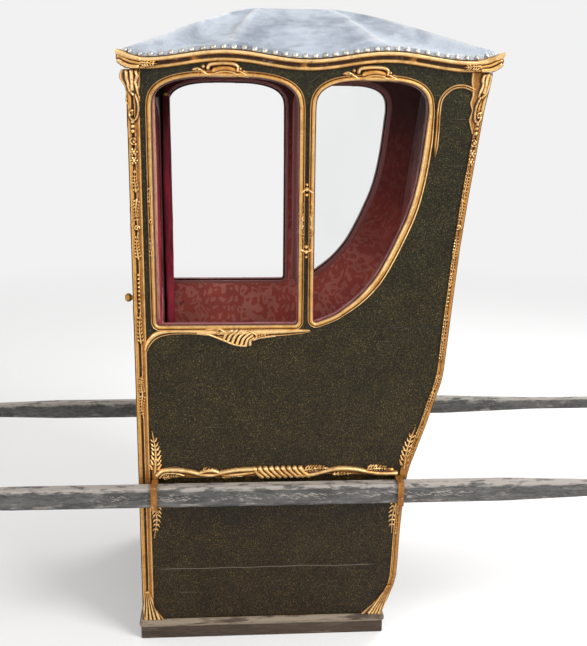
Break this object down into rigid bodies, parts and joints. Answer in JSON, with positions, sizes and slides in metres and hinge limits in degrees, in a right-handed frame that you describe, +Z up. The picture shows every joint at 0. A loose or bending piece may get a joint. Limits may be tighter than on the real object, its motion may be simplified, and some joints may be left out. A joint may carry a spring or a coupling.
{
  "type": "sedan chair",
  "caption": "Enclosed carried chair: varnished cabin with glazed sides, gilt mouldings, domed leather roof, front door and two long sliding poles.",
  "frame": {"origin": "on the floor under the cabin, in the plane of symmetry, midway between the pole ends", "axes": "+X to the chair's back along the poles, +Y to the sitter's right, +Z up"},
  "size_m": [2.9, 0.7944, 1.7135],
  "materials": {
    "varnished_panel": "dark green-black speckled varnish, satin, scratched",
    "gilt_wood": "carved wood with worn water gilding over red-brown ground",
    "plinth_wood": "dark grey-brown painted wood with a pale worn upper edge",
    "pole_wood": "weathered grey-black paint with incised ornament",
    "inner_wood": "plain dark wood",
    "silk_damask": "faded crimson silk damask",
    "velvet": "crimson velvet, deep pile",
    "roof_leather": "pale blue-grey grained leather, nailed",
    "window_glass": "clear old plate glass",
    "brass_fittings": "aged brass"
  },
  "bodies": {
    "chair_body": {"side_panel_left": "varnished_panel", "side_panel_right": "varnished_panel", "back_panel": "varnished_panel", "back_rail": "varnished_panel", "door_lintel": "varnished_panel", "front_post_left": "gilt_wood", "front_post_right": "gilt_wood", "rear_post_left": "gilt_wood", "rear_post_right": "gilt_wood", "front_window_moulding_left": "gilt_wood", "front_window_moulding_right": "gilt_wood", "rear_window_moulding_left": "gilt_wood", "rear_window_moulding_right": "gilt_wood", "waist_moulding_left": "gilt_wood", "waist_moulding_right": "gilt_wood", "pole_garland_left": "gilt_wood", "pole_garland_right": "gilt_wood", "divider_clasp_left": "gilt_wood", "divider_clasp_right": "gilt_wood", "front_bracket_left": "gilt_wood", "front_bracket_right": "gilt_wood", "rear_bracket_left": "gilt_wood", "rear_bracket_right": "gilt_wood", "front_strap_plate_left": "gilt_wood", "front_strap_plate_right": "gilt_wood", "rear_strap_plate_left": "gilt_wood", "rear_strap_plate_right": "gilt_wood", "plinth": "plinth_wood", "floor_board": "inner_wood", "seat_bench": "inner_wood", "side_lining_left": "silk_damask", "side_lining_right": "silk_damask", "back_lining": "silk_damask", "seat_cushion": "silk_damask", "curtain_left": "velvet", "curtain_right": "velvet", "rear_glass_left": "window_glass", "rear_glass_right": "window_glass", "lower_hinge_post_leaf": "brass_fittings", "upper_hinge_post_leaf": "brass_fittings", "left_roof_hinge_wall_leaf": "brass_fittings", "right_roof_hinge_wall_leaf": "brass_fittings"},
    "door": {"door_panel": "varnished_panel", "door_glass": "window_glass", "door_lining": "silk_damask", "door_window_moulding": "gilt_wood", "door_field_moulding": "gilt_wood", "door_handle": "brass_fittings", "lower_hinge_door_leaf": "brass_fittings", "upper_hinge_door_leaf": "brass_fittings"},
    "roof": {"cornice": "gilt_wood", "roof_shell": "roof_leather", "left_roof_hinge_roof_leaf": "brass_fittings", "right_roof_hinge_roof_leaf": "brass_fittings"},
    "pole_left": {"pole_left": "pole_wood"},
    "pole_right": {"pole_right": "pole_wood"}
  },
  "joints": [
    {"name": "door_hinge", "type": "hinge", "parent": "chair_body", "child": "door", "pos_m": [-0.3845, 0.307, 0.055], "axis": [0, 0, -1], "range_deg": [0, 90]},
    {"name": "roof_hinge", "type": "hinge", "parent": "chair_body", "child": "roof", "pos_m": [0.53, 0, 1.5335], "axis": [0, 1, 0], "range_deg": [0, 70]},
    {"name": "pole_left_slide", "type": "slide", "parent": "chair_body", "child": "pole_left", "axis": [1, 0, 0], "range_m": [-1, 1]},
    {"name": "pole_right_slide", "type": "slide", "parent": "chair_body", "child": "pole_right", "axis": [1, 0, 0], "range_m": [-1, 1]}
  ]
}
